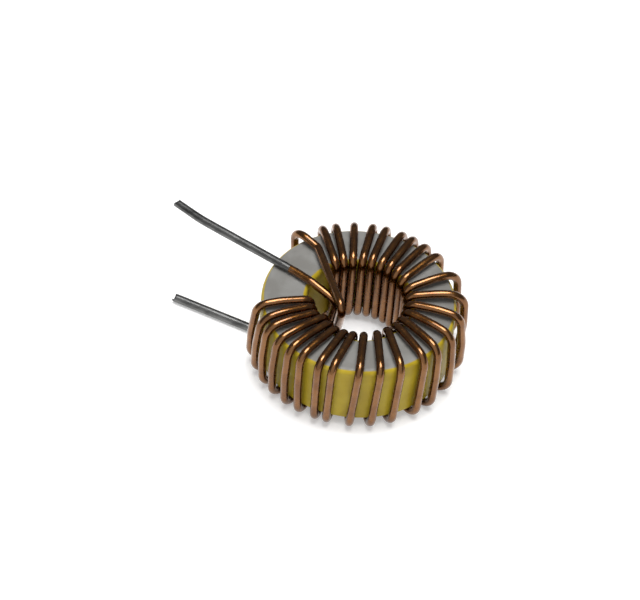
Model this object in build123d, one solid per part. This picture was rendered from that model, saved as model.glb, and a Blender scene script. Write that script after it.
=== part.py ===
from build123d import *
import math
import os

# A toroidal inductor: one enamelled copper wire wound round a coated powder ring that lies flat.
# Millimetres. Z runs along the ring's axis, and z = 0 is the plane that the lowest turns rest on.
# Angles are in degrees, counted anticlockwise from +X as seen from above.

# Ring core
core_outer_diameter = 17.5
core_bore_diameter = 9.4
core_height = 6.35
core_edge_radius = 0.5

# Wire: a copper conductor in a film of enamel
wire_diameter = 0.76
conductor_diameter = 0.7
wire_sides = 10             # flats round the section, which keep the many turns light
bend_step = 30              # degrees that the wire turns at each mitre of a bend
edge_step = 22.5            # the same for the flats that round the core's edges
seat_gap = 0.02             # between the wire and the core, and round the conductor in its tin

# Tin on the two stripped ends
tin_diameter = 0.8
tin_cap = 0.12              # tin past the end of the conductor
tip_slant = 18              # degrees that the cut tips lie off square

# One entry for each turn after the first: the angle where it crosses the rim, how far it leans on
# its way down the outside, its crest's height over the run along the top, how far its crest, its
# bowed side (straight where that is 0) and its foot stand off the rim, how far its upper bend
# stands into the bore, and the degrees of slack that follow it round the bore
rim_angles = [
    115, 107, 96, 85, 77, 67, 60, 51, 41, 23, 6, -10, -25,
    -38, -48, -63, -75, -87, -102, -110, -121, -129, -138, -148, -155, -166,
]
rim_leans = [
    -3, -2, -2, -2, -2, -2, -2, -2, -2, -2, -1, 3, 1,
    -2, -3, -3, -3, -3, -1, 0, 1, 0, -1, 0, -4, -3,
]
rim_lifts = [
    0.1, 0.08, 0.08, 0.08, 0.08, 0.08, 0.08, 0.1, 0.15, 0.2, 0.25, 0.12, 0.15,
    0.12, 0.1, 0.08, 0.08, 0.08, 0.08, 0.08, 0.1, 0.12, 0.12, 0.15, 0.2, 0.12,
]
crest_standoffs = [
    0.15, 0.05, 0.05, 0.05, 0.05, 0.05, 0.08, 0.1, 0.15, 0.25, 0.3, 0.1, 0.15,
    0.1, 0.1, 0.05, 0.05, 0.05, 0.05, 0.05, 0.08, 0.1, 0.12, 0.15, 0.2, 0.08,
]
bow_standoffs = [
    0, 0, 0, 0, 0, 0, 0, 0, 0.2, 0.45, 0.45, 0.45, 0.3,
    0.25, 0, 0, 0, 0, 0, 0.15, 0.25, 0.35, 0.4, 0.45, 0.42, 0.42,
]
foot_standoffs = [
    0.15, 0.05, 0.05, 0.05, 0.05, 0.05, 0.08, 0.1, 0.15, 0.45, 0.15, 0.4, 0.25,
    0.15, 0.1, 0.05, 0.05, 0.05, 0.05, 0.05, 0.1, 0.15, 0.2, 0.25, 0.3, 0.4,
]
bore_insets = [
    0, 0, 0, 0, 0, 0, 0, 0, 0, 0, 0, 0, 0,
    0, 0, 0, 0, 0, 0, 0, 0, 0.25, 0.45, 0, 0, 0,
]
bore_slack = [
    0, 0, 0.5, 0, 0.4, 0.1, 0.3, 2.6, 3.4, 1.1, 1.1, 1.1, 1.1,
    1.1, 1.1, 2.2, 4.8, 0.9, 0, 0, 0, 0, 0, 0, 0,
]
rim_sag = 0.1               # the runs below the ring dip this far on their way to the rim
bow_radius = 6              # of the slight bend half way down a bowed side
rim_softness = 1.25         # growth of a rim bend's radius with its distance from the edge
bore_first_angle = 122.5    # second turn, the first that lies against the bore
bore_last_angle = -168.5    # last turn

# The first half turn crosses the open bore as a bridge, and does not touch its wall
first_rise_foot = (2.08, 163)       # radius and angle where the wire turns up inside the bore
first_rise_top = (2.75, 240)        # where it bends over
bridge_lift = 0.6                   # bend's height over the wire that lies on the ring
bridge_landing = (2.3, 126.2)       # radial distance in from the rim, and angle, of the landing
first_rim_angle = 130.5             # where the first turn crosses the rim
first_rim_lean = -3
first_rim_standoff = 0.55
first_rim_lift = 0.35
first_rim_bend = 1.2
entry_under_ring = (4.6, 166)       # where the wire comes in below the ring

# The last wire climbs through the bore and bends out over the bare side of the ring
last_entry_angle = 179
last_rise_foot = (2.91, 168)
last_rise_top = (1.98, 190.5)
last_rise_drop = 0.65               # bend's depth below the wire that lies on the ring
rim_crossing = (4.55, 164)          # where it comes level above the bore's edge
lead_bend = (6.3, 158.5)            # where it turns into the straight lead

# Leads
upper_lead_heading = 148.5
upper_lead_length = 10.6
upper_tail_heading = 142
upper_tail_length = 3.0
lead_sweep_radius = 15      # of the slow bend between the straight lead and its tail
lead_sweep_step = 3         # degrees at each mitre of that bend
lower_lead_start = (8.1, 173.2)     # under the ring, where the straight lead begins
lower_lead_heading = 157.5
lower_lead_length = 9.5
lower_enamel_length = 1.2           # enamelled length from the bend to the tin, so that
                                    # a hole slid over all the tin stays clear of the core
upper_enamel_length = 0.6

# Sizes that follow from those above
wire_radius = wire_diameter / 2
side_angle = 2 * math.pi / wire_sides
# A section of flats with the same area as the round wire reaches a little past it at its corners
wire_reach = wire_radius * math.sqrt(side_angle / math.sin(side_angle))
wire_offset = wire_reach + seat_gap
core_outer_radius = core_outer_diameter / 2
core_bore_radius = core_bore_diameter / 2
foot_level = wire_reach
under_level = foot_level + rim_sag
core_bottom = under_level + wire_offset
core_top = core_bottom + core_height
rim_radius = core_outer_radius + wire_offset
bore_radius = core_bore_radius - wire_offset
over_level = core_top + wire_offset
middle_level = (core_bottom + core_top) / 2
corner_radius = core_edge_radius + wire_offset
tight_bend = wire_diameter
entry_bend = 2 * wire_diameter
soft_bend = 3 * wire_diameter


def polar(radius, angle, height):
    """A point given by its distance from the ring's axis, its angle and its height."""
    turn = math.radians(angle)
    return Vector(radius * math.cos(turn), radius * math.sin(turn), height)


def heading(angle):
    """The level direction that points along an angle."""
    return polar(1, angle, 0)


def round_corner(before, corner, after, radius, step):
    """Points that take a path round a corner in short straight runs, tangent to an arc."""
    back = (before - corner).normalized()
    onward = (after - corner).normalized()
    turn = 180 - back.get_angle(onward)
    count = max(1, round(turn / step))
    half_turn = math.radians(turn / 2)
    tangent_point = corner + back * radius * math.tan(half_turn)
    centre = corner + (back + onward).normalized() * (radius / math.cos(half_turn))
    spoke = (tangent_point - centre).normalized()
    reach = radius / math.cos(half_turn / count)
    points = []
    for index in range(count):
        swing = 2 * half_turn * (index + 0.5) / count
        points.append(centre + (spoke * math.cos(swing) - back * math.sin(swing)) * reach)
    return points


def make_core():
    """The powder ring: its section, with all four edges rounded, turned about the axis."""
    corners = [
        Vector(core_bore_radius, 0, core_bottom),
        Vector(core_outer_radius, 0, core_bottom),
        Vector(core_outer_radius, 0, core_top),
        Vector(core_bore_radius, 0, core_top),
    ]
    outline = []
    for index, corner in enumerate(corners):
        following = corners[(index + 1) % len(corners)]
        outline += round_corner(corners[index - 1], corner, following, core_edge_radius, edge_step)
    return revolve(make_face(Polyline(*outline, close=True)), Axis.Z)


def bore_angles():
    """Where the turns climb the bore: packed side by side, with what is left shared as slack."""
    packed = 2 * math.degrees(math.asin((wire_reach + seat_gap / 2) / bore_radius))
    span = bore_first_angle - bore_last_angle
    gap_count = min(len(bore_slack), int(span / packed))
    wanted = bore_slack[:gap_count]
    share = (span - gap_count * packed) / sum(wanted)
    angles = [bore_first_angle]
    for slack in wanted:
        angles.append(angles[-1] - packed - slack * share)
    return angles


def rim_bend(standoff, rise):
    """The radius of a bend round the core's outer edge: wider where the turn stands off it."""
    return corner_radius + rim_softness * (standoff + rise)


class Route:
    """A wire's centre line: corner points, each with the radius that it is bent to."""

    def __init__(self, start):
        self.points = [start]
        self.radii = []

    def bend(self, point, radius):
        self.points.append(point)
        self.radii.append(radius)

    def line_to(self, end):
        """The centre line, closed off with its last straight run."""
        corners = [*self.points, end]
        line = [corners[0]]
        for index, radius in enumerate(self.radii, start=1):
            line += round_corner(*corners[index - 1:index + 2], radius, bend_step)
        return Polyline(*line, corners[-1])


def lower_lead_run():
    """Root, end of the enamel and tip of the lead that leaves below the ring."""
    root = polar(*lower_lead_start, under_level)
    along = heading(lower_lead_heading)
    stripped = root + along * lower_enamel_length
    return root, stripped, root + along * lower_lead_length


def upper_lead_run():
    """Root, end of the enamel, slow bend and tip of the lead that leaves over the ring."""
    root = polar(*lead_bend, over_level)
    along = heading(upper_lead_heading)
    stripped = root + along * upper_enamel_length
    knee = root + along * upper_lead_length
    tip = knee + heading(upper_tail_heading) * upper_tail_length
    slow_bend = round_corner(stripped, knee, tip, lead_sweep_radius, lead_sweep_step)
    return root, stripped, *slow_bend, tip


def winding_line():
    """The enamelled wire from one stripped end to the other, through every turn."""
    lower_root, lower_stripped, _ = lower_lead_run()
    upper_root, upper_stripped, *_ = upper_lead_run()
    landing_inset, landing_angle = bridge_landing

    line = Route(lower_stripped)
    line.bend(lower_root, soft_bend)
    line.bend(polar(*entry_under_ring, under_level), soft_bend)
    line.bend(polar(*first_rise_foot, under_level), tight_bend)
    line.bend(polar(*first_rise_top, over_level + bridge_lift), tight_bend)
    line.bend(polar(rim_radius - landing_inset, landing_angle, over_level), tight_bend)
    first_side = rim_radius + first_rim_standoff
    first_foot = polar(first_side, first_rim_angle + first_rim_lean, foot_level)
    line.bend(polar(first_side, first_rim_angle, over_level + first_rim_lift), first_rim_bend)
    line.bend(first_foot, rim_bend(first_rim_standoff, rim_sag))

    outside = zip(rim_angles, rim_leans, rim_lifts, crest_standoffs, bow_standoffs, foot_standoffs)
    for bore_angle, inset, turn in zip(bore_angles(), bore_insets, outside):
        rim_angle, lean, lift, crest_standoff, bow_standoff, foot_standoff = turn
        line.bend(polar(bore_radius, bore_angle, under_level), corner_radius)
        line.bend(polar(bore_radius - inset, bore_angle, over_level), corner_radius)
        crest = polar(rim_radius + crest_standoff, rim_angle, over_level + lift)
        bow = polar(rim_radius + bow_standoff, rim_angle + lean / 2, middle_level)
        foot = polar(rim_radius + foot_standoff, rim_angle + lean, foot_level)
        line.bend(crest, rim_bend(crest_standoff, lift))
        if bow_standoff > 0:
            line.bend(bow, bow_radius)
        line.bend(foot, rim_bend(foot_standoff, rim_sag))

    line.bend(polar(bore_radius, last_entry_angle, under_level), entry_bend)
    line.bend(polar(*last_rise_foot, under_level), tight_bend)
    line.bend(polar(*last_rise_top, over_level - last_rise_drop), tight_bend)
    line.bend(polar(*rim_crossing, over_level), soft_bend)
    line.bend(upper_root, soft_bend)
    return line.line_to(upper_stripped)


def rod_along(line, section):
    """A section swept along a centre line from its start."""
    start = Plane(origin=line @ 0, z_dir=line % 0)
    return sweep(start * section, path=line, transition=Transition.RIGHT)


def lead_line(points, start_gap, end_gap):
    """The centre line of a stripped end, with each of its ends drawn in by a length."""
    along = (points[1] - points[0]).normalized()
    inward = (points[-2] - points[-1]).normalized()
    return Polyline(points[0] + along * start_gap, *points[1:-1], points[-1] + inward * end_gap)


def make_winding():
    """The whole wire: enamelled turns, with the bare conductor standing out of both ends."""
    winding = rod_along(winding_line(), RegularPolygon(wire_reach, wire_sides))
    for run in (lower_lead_run(), upper_lead_run()):
        winding += rod_along(lead_line(run[1:], 0, tin_cap), Circle(conductor_diameter / 2))
    return winding


def make_tin(points):
    """The coat of tin on a stripped end, closed at its slanted tip."""
    coat = rod_along(lead_line(points, seat_gap, -tin_diameter), Circle(tin_diameter / 2))
    room = rod_along(lead_line(points, 0, tin_cap), Circle((conductor_diameter + seat_gap) / 2))
    inward = (points[-2] - points[-1]).normalized()
    slanted = Plane(origin=points[-1], x_dir=(0, 0, 1), z_dir=inward).rotated((tip_slant, 0, 0))
    return split(coat - room, bisect_by=slanted, keep=Keep.TOP)


os.makedirs("parts", exist_ok=True)
export_step(make_core(), "parts/core.step")
export_step(make_winding(), "parts/winding.step")
export_step(make_tin(lower_lead_run()[1:]), "parts/lower_lead_tin.step")
export_step(make_tin(upper_lead_run()[1:]), "parts/upper_lead_tin.step")
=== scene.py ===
import math
import random

import bpy
from mathutils import Matrix, Vector


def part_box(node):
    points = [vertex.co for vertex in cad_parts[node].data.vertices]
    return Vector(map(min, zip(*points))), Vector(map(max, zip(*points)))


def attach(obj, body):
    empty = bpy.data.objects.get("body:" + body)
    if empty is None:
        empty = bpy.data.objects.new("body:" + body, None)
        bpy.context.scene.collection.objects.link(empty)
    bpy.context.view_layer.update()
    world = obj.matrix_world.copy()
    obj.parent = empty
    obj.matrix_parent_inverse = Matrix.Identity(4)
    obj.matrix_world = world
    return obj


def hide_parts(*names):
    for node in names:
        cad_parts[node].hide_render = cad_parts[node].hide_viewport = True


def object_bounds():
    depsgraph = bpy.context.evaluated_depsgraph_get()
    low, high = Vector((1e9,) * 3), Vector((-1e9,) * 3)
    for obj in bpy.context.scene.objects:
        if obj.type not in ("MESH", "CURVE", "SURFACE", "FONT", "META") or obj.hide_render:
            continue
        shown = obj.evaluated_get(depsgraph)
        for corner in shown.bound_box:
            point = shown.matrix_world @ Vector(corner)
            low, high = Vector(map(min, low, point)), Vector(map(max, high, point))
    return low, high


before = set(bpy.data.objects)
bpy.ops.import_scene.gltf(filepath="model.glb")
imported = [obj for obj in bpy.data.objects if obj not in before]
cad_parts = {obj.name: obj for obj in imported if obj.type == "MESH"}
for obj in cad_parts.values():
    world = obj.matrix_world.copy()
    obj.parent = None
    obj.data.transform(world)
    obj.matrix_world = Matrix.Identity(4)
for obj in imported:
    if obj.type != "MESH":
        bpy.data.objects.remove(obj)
cad_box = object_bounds()
bpy.ops.object.select_all(action="DESELECT")


# The core is one ring of pressed iron powder. It is dipped in a yellow coat that rounds its edges,
# and its upper face is then printed white to a little short of the edge. The wire holds it fast.
mm = 0.001
core_low, core_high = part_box("core")
core_outer_radius = core_high.x
core_bore_radius = 4.7 * mm
core_edge_radius = 0.5 * mm
core_bottom = core_low.z
core_top = core_high.z
core_wall = core_outer_radius - core_bore_radius
white_margin_outside = 0.18 * mm
white_margin_inside = 0.3 * mm
ragged_depth = 0.22 * mm
ragged_size = 0.9 * mm
print_depth = 0.12 * mm
coat_yellow = (0.47, 0.35, 0.022)
coat_yellow_dark = (0.38, 0.27, 0.012)
face_white = (0.22, 0.217, 0.205)
face_grey = (0.175, 0.17, 0.157)

section_centre = (core_bore_radius + core_wall / 2, 0, (core_bottom + core_top) / 2)
bpy.ops.mesh.primitive_plane_add(size=1, location=section_centre, rotation=(math.pi / 2, 0, 0))
core = bpy.context.object
core.name = "coated_ring"
core.scale = (core_wall, core_top - core_bottom, 1)
bpy.ops.object.transform_apply(location=True, rotation=True, scale=True)
bpy.ops.object.mode_set(mode="EDIT")
bpy.ops.mesh.select_all(action="SELECT")
bpy.ops.mesh.bevel(offset=core_edge_radius, segments=8, affect="VERTICES")
bpy.ops.mesh.delete(type="ONLY_FACE")
bpy.ops.mesh.select_all(action="SELECT")
bpy.ops.mesh.spin(steps=240, angle=2 * math.pi, center=(0, 0, 0), axis=(0, 0, 1))
bpy.ops.mesh.select_all(action="SELECT")
bpy.ops.mesh.remove_doubles(threshold=0.002 * mm)
bpy.ops.mesh.normals_make_consistent(inside=False)
bpy.ops.object.mode_set(mode="OBJECT")
bpy.ops.object.shade_smooth_by_angle(angle=math.radians(35))


def wire_up(tree, source, output, target, socket):
    """Joins one node's output to another node's input."""
    tree.links.new(source.outputs[output], target.inputs[socket])


def step_up(tree, source, output, start, end):
    """A value that goes smoothly from 0 at the start to 1 at the end."""
    ramp = tree.nodes.new("ShaderNodeMapRange")
    ramp.interpolation_type = "SMOOTHSTEP"
    ramp.inputs["From Min"].default_value = start
    ramp.inputs["From Max"].default_value = end
    wire_up(tree, source, output, ramp, "Value")
    return ramp


def calculate(tree, operation, first, first_output, second, second_output=None):
    """One step of arithmetic on a node's output and a number, or another node's output."""
    step = tree.nodes.new("ShaderNodeMath")
    step.operation = operation
    wire_up(tree, first, first_output, step, 0)
    if second_output is None:
        step.inputs[1].default_value = second
    else:
        wire_up(tree, second, second_output, step, 1)
    return step


def two_colours(tree, mask, output, first, second):
    """A mix of two colours by a mask."""
    mix = tree.nodes.new("ShaderNodeMix")
    mix.data_type = "RGBA"
    mix.inputs["A"].default_value = (*first, 1)
    mix.inputs["B"].default_value = (*second, 1)
    wire_up(tree, mask, output, mix, "Factor")
    return mix


# A finish that is blotched in two tones and finely grained, for the coat, the enamel and the tin.
patchy = bpy.data.node_groups.new("patchy_finish", "ShaderNodeTree")
for socket_name, socket_kind in (
    ("Place", "NodeSocketVector"),
    ("Light Tone", "NodeSocketColor"),
    ("Dark Tone", "NodeSocketColor"),
    ("Blotch Scale", "NodeSocketFloat"),
    ("Grain Scale", "NodeSocketFloat"),
    ("Smoothest", "NodeSocketFloat"),
    ("Roughest", "NodeSocketFloat"),
    ("Relief", "NodeSocketFloat"),
):
    patchy.interface.new_socket(socket_name, in_out="INPUT", socket_type=socket_kind)
for socket_name, socket_kind in (
    ("Tone", "NodeSocketColor"),
    ("Roughness", "NodeSocketFloat"),
    ("Normal", "NodeSocketVector"),
):
    patchy.interface.new_socket(socket_name, in_out="OUTPUT", socket_type=socket_kind)
given = patchy.nodes.new("NodeGroupInput")
result = patchy.nodes.new("NodeGroupOutput")
blotches = patchy.nodes.new("ShaderNodeTexNoise")
blotches.inputs["Detail"].default_value = 4
wire_up(patchy, given, "Place", blotches, "Vector")
wire_up(patchy, given, "Blotch Scale", blotches, "Scale")
blotch_mask = step_up(patchy, blotches, "Fac", 0.36, 0.66)
tone = patchy.nodes.new("ShaderNodeMix")
tone.data_type = "RGBA"
wire_up(patchy, blotch_mask, "Result", tone, "Factor")
wire_up(patchy, given, "Light Tone", tone, "A")
wire_up(patchy, given, "Dark Tone", tone, "B")
wire_up(patchy, tone, "Result", result, "Tone")
grain = patchy.nodes.new("ShaderNodeTexNoise")
grain.inputs["Detail"].default_value = 2
wire_up(patchy, given, "Place", grain, "Vector")
wire_up(patchy, given, "Grain Scale", grain, "Scale")
dullness = step_up(patchy, grain, "Fac", 0.25, 0.75)
wire_up(patchy, given, "Smoothest", dullness, "To Min")
wire_up(patchy, given, "Roughest", dullness, "To Max")
wire_up(patchy, dullness, "Result", result, "Roughness")
relief = patchy.nodes.new("ShaderNodeBump")
relief.inputs["Strength"].default_value = 0.5
wire_up(patchy, grain, "Fac", relief, "Height")
wire_up(patchy, given, "Relief", relief, "Distance")
wire_up(patchy, relief, "Normal", result, "Normal")


def patchy_finish(tree, where, output, tones, blotch, grain_size, dullness_range, depth):
    """The blotched finish, with its blotches, grain and relief given by their sizes."""
    finish = tree.nodes.new("ShaderNodeGroup")
    finish.node_tree = patchy
    wire_up(tree, where, output, finish, "Place")
    finish.inputs["Light Tone"].default_value = (*tones[0], 1)
    finish.inputs["Dark Tone"].default_value = (*tones[1], 1)
    finish.inputs["Blotch Scale"].default_value = 1 / blotch
    finish.inputs["Grain Scale"].default_value = 1 / grain_size
    finish.inputs["Smoothest"].default_value = dullness_range[0]
    finish.inputs["Roughest"].default_value = dullness_range[1]
    finish.inputs["Relief"].default_value = depth
    return finish


coat = bpy.data.materials.new("yellow_and_white_coat")
coat.use_nodes = True
tree = coat.node_tree
paint = tree.nodes["Principled BSDF"]
paint.inputs["Specular IOR Level"].default_value = 0.25
paint.inputs["Coat Weight"].default_value = 0.05
paint.inputs["Coat Roughness"].default_value = 0.3
where = tree.nodes.new("ShaderNodeTexCoord")
place = tree.nodes.new("ShaderNodeSeparateXYZ")
wire_up(tree, where, "Object", place, "Vector")
square_x = calculate(tree, "POWER", place, "X", 2)
square_y = calculate(tree, "POWER", place, "Y", 2)
square = calculate(tree, "ADD", square_x, "Value", square_y, "Value")
radius = calculate(tree, "SQRT", square, "Value", 0)
ragged = tree.nodes.new("ShaderNodeTexNoise")
ragged.inputs["Scale"].default_value = 1 / ragged_size
ragged.inputs["Detail"].default_value = 4
wire_up(tree, where, "Object", ragged, "Vector")
shift = calculate(tree, "MULTIPLY", ragged, "Fac", ragged_depth)
uneven_radius = calculate(tree, "ADD", radius, "Value", shift, "Value")
white_end = core_outer_radius - white_margin_outside + ragged_depth / 2
white_start = core_bore_radius + white_margin_inside + ragged_depth / 2
outside = step_up(tree, uneven_radius, "Value", white_end + 0.09 * mm, white_end - 0.09 * mm)
inside = step_up(tree, uneven_radius, "Value", white_start - 0.08 * mm, white_start + 0.08 * mm)
upper = step_up(tree, place, "Z", core_top - print_depth, core_top - print_depth / 3)
band = calculate(tree, "MULTIPLY", outside, "Result", inside, "Result")
printed = calculate(tree, "MULTIPLY", band, "Value", upper, "Result")
yellow_tones = (coat_yellow, coat_yellow_dark)
white_tones = (face_white, face_grey)
yellow = patchy_finish(tree, where, "Object", yellow_tones, 2.6 * mm, 0.16 * mm, (0.36, 0.5), 0.008 * mm)
white = patchy_finish(tree, where, "Object", white_tones, 2.2 * mm, 0.16 * mm, (0.42, 0.58), 0.008 * mm)
both = tree.nodes.new("ShaderNodeMix")
both.data_type = "RGBA"
wire_up(tree, printed, "Value", both, "Factor")
wire_up(tree, yellow, "Tone", both, "A")
wire_up(tree, white, "Tone", both, "B")
wire_up(tree, both, "Result", paint, "Base Color")
wire_up(tree, yellow, "Roughness", paint, "Roughness")
wire_up(tree, yellow, "Normal", paint, "Normal")
core.data.materials.append(coat)
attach(core, "root")
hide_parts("core")


# The winding is one length of copper wire in a clear amber enamel. It comes in under the ring, crosses
# the open middle as a bridge, goes round the ring turn by turn, and climbs out over the bare side.
# Each turn is pulled tight by hand, so it bends closely round the core and hardly bows between.
wire_radius = 0.38 * mm
flat_reach = 0.3929 * mm
seat_gap = 0.02 * mm
wire_offset = flat_reach + seat_gap
rim_radius = core_outer_radius + wire_offset
bore_radius = core_bore_radius - wire_offset
foot_level = flat_reach
under_level = foot_level + 0.1 * mm
over_level = core_top + wire_offset
middle_level = (core_bottom + core_top) / 2
corner_radius = core_edge_radius + wire_offset
tight_bend = 0.76 * mm
soft_bend = 2.28 * mm
arch_bend = 9 * mm
rim_softness = 1.25
rim_sag = 0.1 * mm
weld_distance = 0.0005 * mm

rim_angles = [
    115, 107, 96, 85, 77, 67, 60, 51, 41, 23, 6, -10, -25,
    -38, -48, -63, -75, -87, -102, -110, -121, -129, -138, -148, -155, -166,
]
rim_leans = [
    -3, -2, -2, -2, -2, -2, -2, -2, -2, -2, -1, 3, 1,
    -2, -3, -3, -3, -3, -1, 0, 1, 0, -1, 0, -4, -3,
]
rim_lifts = [
    0.1, 0.08, 0.08, 0.08, 0.08, 0.08, 0.08, 0.1, 0.15, 0.2, 0.25, 0.12, 0.15,
    0.12, 0.1, 0.08, 0.08, 0.08, 0.08, 0.08, 0.1, 0.12, 0.12, 0.15, 0.2, 0.12,
]
crest_standoffs = [
    0.15, 0.05, 0.05, 0.05, 0.05, 0.05, 0.08, 0.1, 0.15, 0.25, 0.3, 0.1, 0.15,
    0.1, 0.1, 0.05, 0.05, 0.05, 0.05, 0.05, 0.08, 0.1, 0.12, 0.15, 0.2, 0.08,
]
bow_standoffs = [
    0.15, 0.05, 0.05, 0.05, 0.05, 0.05, 0.08, 0.1, 0.2, 0.45, 0.45, 0.45, 0.3,
    0.25, 0.1, 0.05, 0.05, 0.05, 0.05, 0.15, 0.25, 0.35, 0.4, 0.45, 0.42, 0.42,
]
foot_standoffs = [
    0.15, 0.05, 0.05, 0.05, 0.05, 0.05, 0.08, 0.1, 0.15, 0.45, 0.15, 0.4, 0.25,
    0.15, 0.1, 0.05, 0.05, 0.05, 0.05, 0.05, 0.1, 0.15, 0.2, 0.25, 0.3, 0.4,
]
bore_insets = [0] * 21 + [0.25, 0.45, 0, 0, 0]
bore_slack = [
    0, 0, 0.5, 0, 0.4, 0.1, 0.3, 2.6, 3.4, 1.1, 1.1, 1.1, 1.1,
    1.1, 1.1, 2.2, 4.8, 0.9, 0, 0, 0, 0, 0, 0, 0,
]
bore_first_angle = 122.5
bore_last_angle = -168.5
lower_lead_heading = 157.5
lower_lead_length = 9.5 * mm
upper_lead_heading = 148.5
upper_lead_length = 10.6 * mm
upper_tail_heading = 142
upper_tail_length = 3.0 * mm
lower_enamel_length = 1.2 * mm
upper_enamel_length = 0.6 * mm
enamel_copper = (0.200, 0.083, 0.019)
enamel_dark = (0.145, 0.055, 0.011)


def polar(radius, angle, height):
    """A point given by its distance from the ring's axis, its angle and its height."""
    turn = math.radians(angle)
    return Vector((radius * math.cos(turn), radius * math.sin(turn), height))


def bent_wire(name, corners, thickness):
    """A round wire along corners, each a point, the radius of its bend and its share of the thickness."""
    knots = []
    for index, (corner, bend, share) in enumerate(corners):
        if index in (0, len(corners) - 1):
            knots.append([corner, Vector(), Vector(), share])
            continue
        back = (corners[index - 1][0] - corner).normalized()
        onward = (corners[index + 1][0] - corner).normalized()
        half_turn = (math.pi - back.angle(onward)) / 2
        tangent = bend * math.tan(half_turn)
        pull = 4 / 3 * bend * math.tan(half_turn / 2)
        knots.append([corner + back * tangent, back, -back * pull, share])
        knots.append([corner + onward * tangent, -onward * pull, onward, share])
    for first, second in zip(knots[0::2], knots[1::2]):
        run = second[0] - first[0]
        first[2] = run / 3
        second[1] = -run / 3
    bpy.ops.curve.primitive_bezier_curve_add()
    curve = bpy.context.object
    curve.name = name
    curve.data.bevel_depth = thickness
    curve.data.bevel_resolution = 8
    curve.data.resolution_u = 8
    curve.data.use_fill_caps = True
    spline = curve.data.splines[0]
    spline.bezier_points.add(len(knots) - len(spline.bezier_points))
    for point, (place_on_wire, left, right, share) in zip(spline.bezier_points, knots):
        point.handle_left_type = point.handle_right_type = "FREE"
        point.co = place_on_wire
        point.handle_left = place_on_wire + left
        point.handle_right = place_on_wire + right
        point.radius = share
    bpy.ops.object.convert(target="MESH")
    bpy.ops.object.mode_set(mode="EDIT")
    bpy.ops.mesh.select_all(action="SELECT")
    bpy.ops.mesh.remove_doubles(threshold=weld_distance)
    bpy.ops.mesh.normals_make_consistent(inside=False)
    bpy.ops.object.mode_set(mode="OBJECT")
    bpy.ops.object.shade_smooth_by_angle(angle=math.radians(50))
    return bpy.context.object


def rim_bend(standoff, rise):
    """The radius of a bend round the core's outer edge: wider where the turn stands off it."""
    return corner_radius + rim_softness * (standoff + rise)


packed_pitch = 2 * math.degrees(math.asin((flat_reach + seat_gap / 2) / bore_radius))
spare_angle = bore_first_angle - bore_last_angle - packed_pitch * len(bore_slack)
bore_angles = [bore_first_angle]
for slack in bore_slack:
    bore_angles.append(bore_angles[-1] - packed_pitch - spare_angle * slack / sum(bore_slack))

lower_root = polar(8.1 * mm, 173.2, under_level)
lower_along = polar(1, lower_lead_heading, 0)
lower_stripped = lower_root + lower_along * lower_enamel_length
lower_tip = lower_root + lower_along * lower_lead_length
upper_root = polar(6.3 * mm, 158.5, over_level)
upper_along = polar(1, upper_lead_heading, 0)
upper_stripped = upper_root + upper_along * upper_enamel_length
upper_knee = upper_root + upper_along * upper_lead_length
upper_tail_along = polar(1, upper_tail_heading, 0)
upper_tip = upper_knee + upper_tail_along * upper_tail_length

first_standoff = 0.55 * mm
first_side = rim_radius + first_standoff
first_lift = 0.35 * mm
first_crest_bend = 1.2 * mm
bridge_lift = 0.6 * mm
bridge_landing = 2.3 * mm
last_rise_drop = 0.65 * mm
route = [
    (lower_stripped, 0, 1),
    (lower_root, soft_bend, 1),
    (polar(4.6 * mm, 166, under_level), soft_bend, 1),
    (polar(2.08 * mm, 163, under_level), tight_bend, 1),
    (polar(2.75 * mm, 240, over_level + bridge_lift), tight_bend, 1),
    (polar(rim_radius - bridge_landing, 126.2, over_level), tight_bend, 1),
    (polar(first_side, 130.5, over_level + first_lift), first_crest_bend, 1),
    (polar(first_side, 127.5, foot_level), rim_bend(first_standoff, rim_sag), 1),
]
for turn, bore_angle in enumerate(bore_angles):
    rim_angle = rim_angles[turn]
    foot_angle = rim_angle + rim_leans[turn]
    lift = rim_lifts[turn] * mm
    crest_side = crest_standoffs[turn] * mm
    foot_side = foot_standoffs[turn] * mm
    bow_side = bow_standoffs[turn] * mm
    bore_top = polar(bore_radius - bore_insets[turn] * mm, bore_angle, over_level)
    crest = polar(rim_radius + crest_side, rim_angle, over_level + lift)
    arch = bore_top.lerp(crest, 0.55) + Vector((0, 0, bow_side / 2))
    bow = polar(rim_radius + bow_side, (rim_angle + foot_angle) / 2, middle_level)
    foot = polar(rim_radius + foot_side, foot_angle, foot_level)
    route += [
        (polar(bore_radius, bore_angle, under_level), corner_radius, 1),
        (bore_top, corner_radius, 1),
        (arch, arch_bend, 1),
        (crest, rim_bend(crest_side, lift), 1),
        (bow, arch_bend, 1),
        (foot, rim_bend(foot_side, rim_sag), 1),
    ]
route += [
    (polar(bore_radius, 179, under_level), 2 * tight_bend, 1),
    (polar(2.91 * mm, 168, under_level), tight_bend, 1),
    (polar(1.98 * mm, 190.5, over_level - last_rise_drop), tight_bend, 1),
    (polar(4.55 * mm, 164, over_level), soft_bend, 1),
    (upper_root, soft_bend, 1),
    (upper_stripped, 0, 1),
]
winding = bent_wire("enamelled_winding", route, wire_radius)

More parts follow.
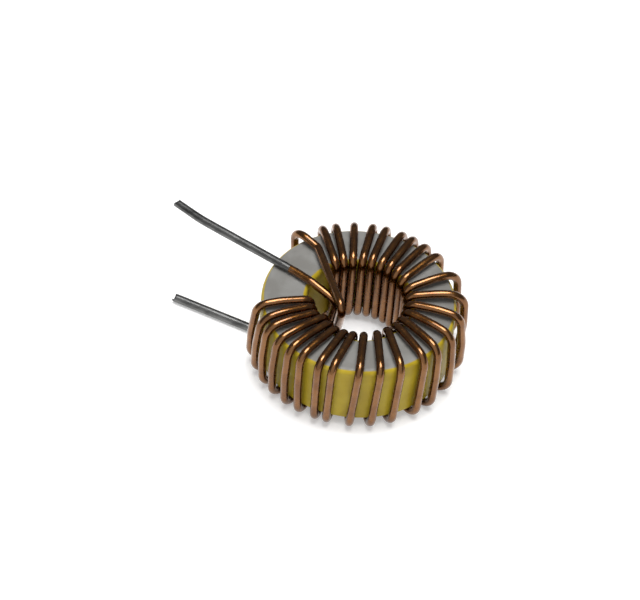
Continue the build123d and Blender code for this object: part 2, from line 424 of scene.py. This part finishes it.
enamel = bpy.data.materials.new("enamelled_copper")
enamel.use_nodes = True
tree = enamel.node_tree
metal = tree.nodes["Principled BSDF"]
metal.inputs["Metallic"].default_value = 1
metal.inputs["Coat Weight"].default_value = 0.5
metal.inputs["Coat Roughness"].default_value = 0.06
metal.inputs["Coat IOR"].default_value = 1.6
where = tree.nodes.new("ShaderNodeTexCoord")
copper_tones = (enamel_copper, enamel_dark)
copper = patchy_finish(tree, where, "Object", copper_tones, 1.6 * mm, 0.5 * mm, (0.2, 0.3), 0.004 * mm)
wire_up(tree, copper, "Tone", metal, "Base Color")
wire_up(tree, copper, "Roughness", metal, "Roughness")
wire_up(tree, copper, "Normal", metal, "Normal")
winding.data.materials.append(enamel)
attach(winding, "root")
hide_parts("winding")


# Both ends of the wire are stripped and dipped in tin, which lies on them a little unevenly.
# The tin thins out where it meets the enamel, and the tips are snipped off at a slant.
tin_radius = 0.4 * mm
tip_slant = 18
spot_spacing = 0.8 * mm
sweep_radius = 15 * mm
sweep_reach = 1.0 * mm
tin_light = (0.15, 0.15, 0.147)
tin_dark = (0.08, 0.08, 0.079)
random.seed(11)


def tinned_end(name, node, points):
    """A coat of tin along a lead's points, cut off at its tip by a slanted plane."""
    corners = [(points[0] + (points[1] - points[0]).normalized() * seat_gap, 0, 0.92)]
    for index, end in enumerate(points[1:], start=1):
        start = points[index - 1]
        run = end - start
        first = sweep_reach if index > 1 else spot_spacing
        distance = first
        while distance < run.length - sweep_reach:
            spot = start + run.normalized() * distance
            corners.append((spot, 0.1 * mm, random.uniform(0.965, 0.995)))
            distance += spot_spacing
        if index < len(points) - 1:
            corners.append((end, sweep_radius, 0.985))
    onward = (points[-1] - points[-2]).normalized()
    corners.append((points[-1] + onward * tin_radius, 0, 0.96))
    lead = bent_wire(name, corners, tin_radius)
    upright = Vector((0, 0, 1))
    slant = math.radians(tip_slant)
    cut = onward * math.cos(slant) + upright * math.sin(slant)
    bpy.ops.object.mode_set(mode="EDIT")
    bpy.ops.mesh.select_all(action="SELECT")
    snip = points[-1] - onward * seat_gap
    bpy.ops.mesh.bisect(plane_co=snip, plane_no=cut, use_fill=True, clear_outer=True)
    bpy.ops.mesh.bevel(offset=0.03 * mm, segments=2, affect="EDGES")
    bpy.ops.object.mode_set(mode="OBJECT")
    bpy.ops.object.shade_smooth_by_angle(angle=math.radians(40))
    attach(lead, "root")
    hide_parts(node)
    return lead


lower_lead = tinned_end("lower_tinned_lead", "lower_lead_tin", [lower_stripped, lower_tip])
upper_points = [upper_stripped, upper_knee, upper_tip]
upper_lead = tinned_end("upper_tinned_lead", "upper_lead_tin", upper_points)

tinning = bpy.data.materials.new("dull_tinning")
tinning.use_nodes = True
tree = tinning.node_tree
metal = tree.nodes["Principled BSDF"]
metal.inputs["Metallic"].default_value = 1
where = tree.nodes.new("ShaderNodeTexCoord")
stretch = tree.nodes.new("ShaderNodeMapping")
stretch.inputs["Rotation"].default_value = (0, 0, math.radians(180 - upper_lead_heading))
stretch.inputs["Scale"].default_value = (0.25, 1, 1)
wire_up(tree, where, "Object", stretch, "Vector")
tin_tones = (tin_light, tin_dark)
streaks = patchy_finish(tree, stretch, "Vector", tin_tones, 0.6 * mm, 0.3 * mm, (0.28, 0.42), 0.01 * mm)
wire_up(tree, streaks, "Tone", metal, "Base Color")
wire_up(tree, streaks, "Roughness", metal, "Roughness")
wire_up(tree, streaks, "Normal", metal, "Normal")
lower_lead.data.materials.append(tinning)
upper_lead.data.materials.append(tinning)


# The part lies on a plain white sheet under a small lamp straight above it, with a broad soft light
# low in front. The camera looks down on it from the front, as in the photograph.
floor_level = cad_box[0].z
bpy.ops.mesh.primitive_plane_add(size=6, location=(0, 0, floor_level))
floor = bpy.context.object
floor.name = "white_sheet"
paper = bpy.data.materials.new("white_paper")
paper.use_nodes = True
tree = paper.node_tree
sheet = tree.nodes["Principled BSDF"]
sheet.inputs["Base Color"].default_value = (0.8, 0.8, 0.8, 1)
sheet.inputs["Roughness"].default_value = 0.9
sheet.inputs["Emission Color"].default_value = (1, 1, 1, 1)
seen = tree.nodes.new("ShaderNodeLightPath")
directly = calculate(tree, "MAXIMUM", seen, "Is Camera Ray", seen, "Is Glossy Ray")
lift = calculate(tree, "MULTIPLY", directly, "Value", 0.3)
wire_up(tree, lift, "Value", sheet, "Emission Strength")
floor.data.materials.append(paper)

world = bpy.data.worlds.new("studio")
world.use_nodes = True
bpy.context.scene.world = world
tree = world.node_tree
room = tree.nodes["Background"]
seen = tree.nodes.new("ShaderNodeLightPath")
room_colour = two_colours(tree, seen, "Is Camera Ray", (0.16, 0.16, 0.165), (1, 1, 1))
wire_up(tree, room_colour, "Result", room, "Color")


def soft_lamp(name, size, power, place_in_room, aim):
    """A square lamp of a size and power, at a place, that looks at a point."""
    bpy.ops.object.light_add(type="AREA", location=place_in_room)
    lamp = bpy.context.object
    lamp.name = name
    lamp.data.size = size
    lamp.data.energy = power
    lamp.rotation_euler = (Vector(aim) - Vector(place_in_room)).to_track_quat("-Z", "Y").to_euler()
    return lamp


soft_lamp("overhead_lamp", 0.34, 3.6, (0.02, 0.02, 0.55), (0, 0, 0))
soft_lamp("front_light", 1.8, 7.5, (-0.15, -0.9, 0.5), (0, 0, 0))

camera_elevation = math.radians(47.13)
camera_roll = math.radians(-4.87)
camera_distance = 306.25 * mm
camera_aside = Vector((-3.13, 4.24)) * mm
across = Vector((1, 0, 0))
upward = Vector((0, math.sin(camera_elevation), math.cos(camera_elevation)))
backward = Vector((0, -math.cos(camera_elevation), math.sin(camera_elevation)))
camera_right = across * math.cos(camera_roll) - upward * math.sin(camera_roll)
camera_up = across * math.sin(camera_roll) + upward * math.cos(camera_roll)
camera_place = Vector((0, 0, core_bottom)) + backward * camera_distance
camera_place += camera_right * camera_aside.x + camera_up * camera_aside.y
bpy.ops.object.camera_add()
camera = bpy.context.object
camera_turn = Matrix((camera_right, camera_up, backward)).transposed()
camera.matrix_world = Matrix.Translation(camera_place) @ camera_turn.to_4x4()
camera.data.lens = 190
camera.data.sensor_width = 36
bpy.context.scene.camera = camera
bpy.context.scene.view_settings.view_transform = "Standard"
